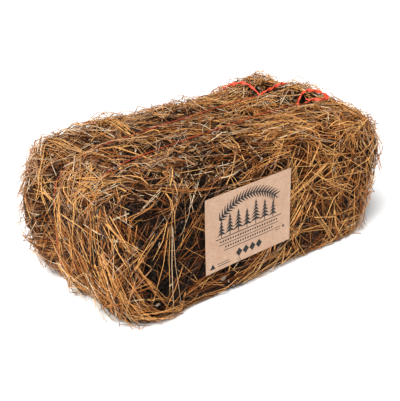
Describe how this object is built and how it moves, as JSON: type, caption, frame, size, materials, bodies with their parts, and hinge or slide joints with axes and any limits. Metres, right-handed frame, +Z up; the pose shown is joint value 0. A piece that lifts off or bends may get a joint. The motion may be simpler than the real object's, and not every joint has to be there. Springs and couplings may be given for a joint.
{
  "type": "pine straw bale",
  "caption": "Pressed rectangular bale of pine needles tied lengthwise with orange baling twine, with a plain printed kraft card on its front.",
  "frame": {"origin": "middle of the flat underside that the bale rests on", "axes": "+X along the bale's length, -Y out of the front that carries the card, +Z up"},
  "size_m": [0.9037, 0.4842, 0.3668],
  "materials": {
    "pine_straw": "dry, matt pine needles from pale gold to red-brown, dark in the gaps",
    "orange_twine": "twisted polypropylene film, red-orange, faintly shiny",
    "kraft_card": "uncoated kraft board with a plain black ornament"
  },
  "bodies": {
    "root": {"straw_block": "pine_straw", "twine_back": "orange_twine", "twine_front": "orange_twine", "card": "kraft_card"}
  },
  "joints": []
}
